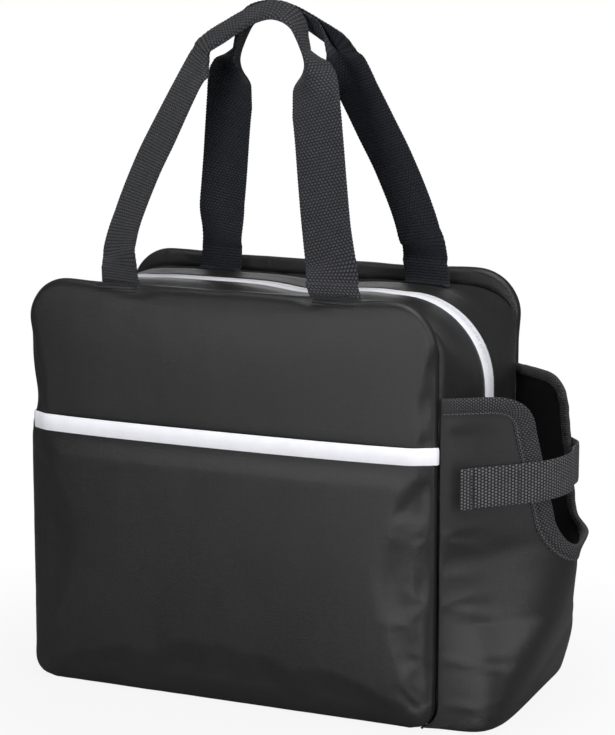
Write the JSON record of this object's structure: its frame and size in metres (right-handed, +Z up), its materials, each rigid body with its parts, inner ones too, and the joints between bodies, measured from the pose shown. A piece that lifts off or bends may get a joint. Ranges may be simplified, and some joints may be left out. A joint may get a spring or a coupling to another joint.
{
  "type": "cooler tote bag",
  "caption": "Insulated tote bag: zipped box body, slip pocket with a pale trim, notched bottle pocket closed by a strap, and two webbing handles with folded grips.",
  "frame": {"origin": "middle of the base, on the surface that the bag stands on", "axes": "+Z up, -Y towards the slip pocket on the front, +X towards the end with the bottle pocket"},
  "size_m": [0.3752, 0.1653, 0.4535],
  "materials": {
    "cloth": "charcoal black fine ripstop polyester with a satin face",
    "foam": "closed-cell sheet foam, hidden between cover and liner",
    "liner": "silver foil laminate, slightly creased",
    "webbing": "charcoal black woven polypropylene webbing",
    "binding": "charcoal black woven binding tape",
    "white_tape": "white woven tape",
    "zip_coil": "white nylon coil",
    "hook_and_loop": "black hook and loop tape",
    "painted_metal": "white enamel over cast zinc"
  },
  "bodies": {
    "bag": {"front_panel": "cloth", "back_panel": "cloth", "front_foam": "foam", "back_foam": "foam", "left_end_panel": "cloth", "right_end_panel": "cloth", "left_end_foam": "foam", "right_end_foam": "foam", "zip_foot_left": "white_tape", "zip_foot_right": "white_tape", "base_panel": "cloth", "base_foam": "foam", "liner_tub": "liner", "front_pocket": "cloth", "front_pocket_trim": "white_tape", "bottle_pocket": "cloth", "bottle_pocket_binding": "binding", "strap_tail": "webbing", "loop_patch": "hook_and_loop"},
    "front_mouth": {"front_panel_top": "cloth", "front_foam_top": "foam", "front_gusset": "cloth", "front_gusset_foam": "foam", "front_gusset_liner": "liner", "front_zip_tape": "white_tape", "front_zip_coil": "zip_coil"},
    "back_mouth": {"back_panel_top": "cloth", "back_foam_top": "foam", "back_gusset": "cloth", "back_gusset_foam": "foam", "back_gusset_liner": "liner", "back_zip_tape": "white_tape", "back_zip_coil": "zip_coil"},
    "front_handle": {"front_handle": "webbing"},
    "back_handle": {"back_handle": "webbing"},
    "slider": {"zip_slider": "painted_metal"},
    "pull": {"zip_pull": "painted_metal"},
    "strap": {"strap": "webbing", "hook_patch": "hook_and_loop"}
  },
  "joints": [
    {"name": "front_mouth_fold", "type": "hinge", "parent": "bag", "child": "front_mouth", "pos_m": [0, -0.0767, 0.218], "axis": [1, 0, 0], "range_deg": [0, 40]},
    {"name": "back_mouth_fold", "type": "hinge", "parent": "bag", "child": "back_mouth", "pos_m": [0, 0.0767, 0.218], "axis": [-1, 0, 0], "range_deg": [0, 40]},
    {"name": "front_handle_swing", "type": "hinge", "parent": "front_mouth", "child": "front_handle", "pos_m": [0, -0.0665, 0.274], "axis": [1, 0, 0], "range_deg": [0, 140]},
    {"name": "back_handle_swing", "type": "hinge", "parent": "back_mouth", "child": "back_handle", "pos_m": [0, 0.0665, 0.274], "axis": [-1, 0, 0], "range_deg": [0, 140]},
    {"name": "zip_slide", "type": "slide", "parent": "bag", "child": "slider", "axis": [0, 0, 1], "range_m": [0, 0.04]},
    {"name": "zip_pull_swing", "type": "hinge", "parent": "slider", "child": "pull", "pos_m": [-0.1556, 0, 0.163], "axis": [0, 1, 0], "range_deg": [0, 160]},
    {"name": "strap_peel", "type": "hinge", "parent": "bag", "child": "strap", "pos_m": [0.1615, 0.0597, 0.16], "axis": [0, 0, 1], "range_deg": [0, 90]}
  ]
}
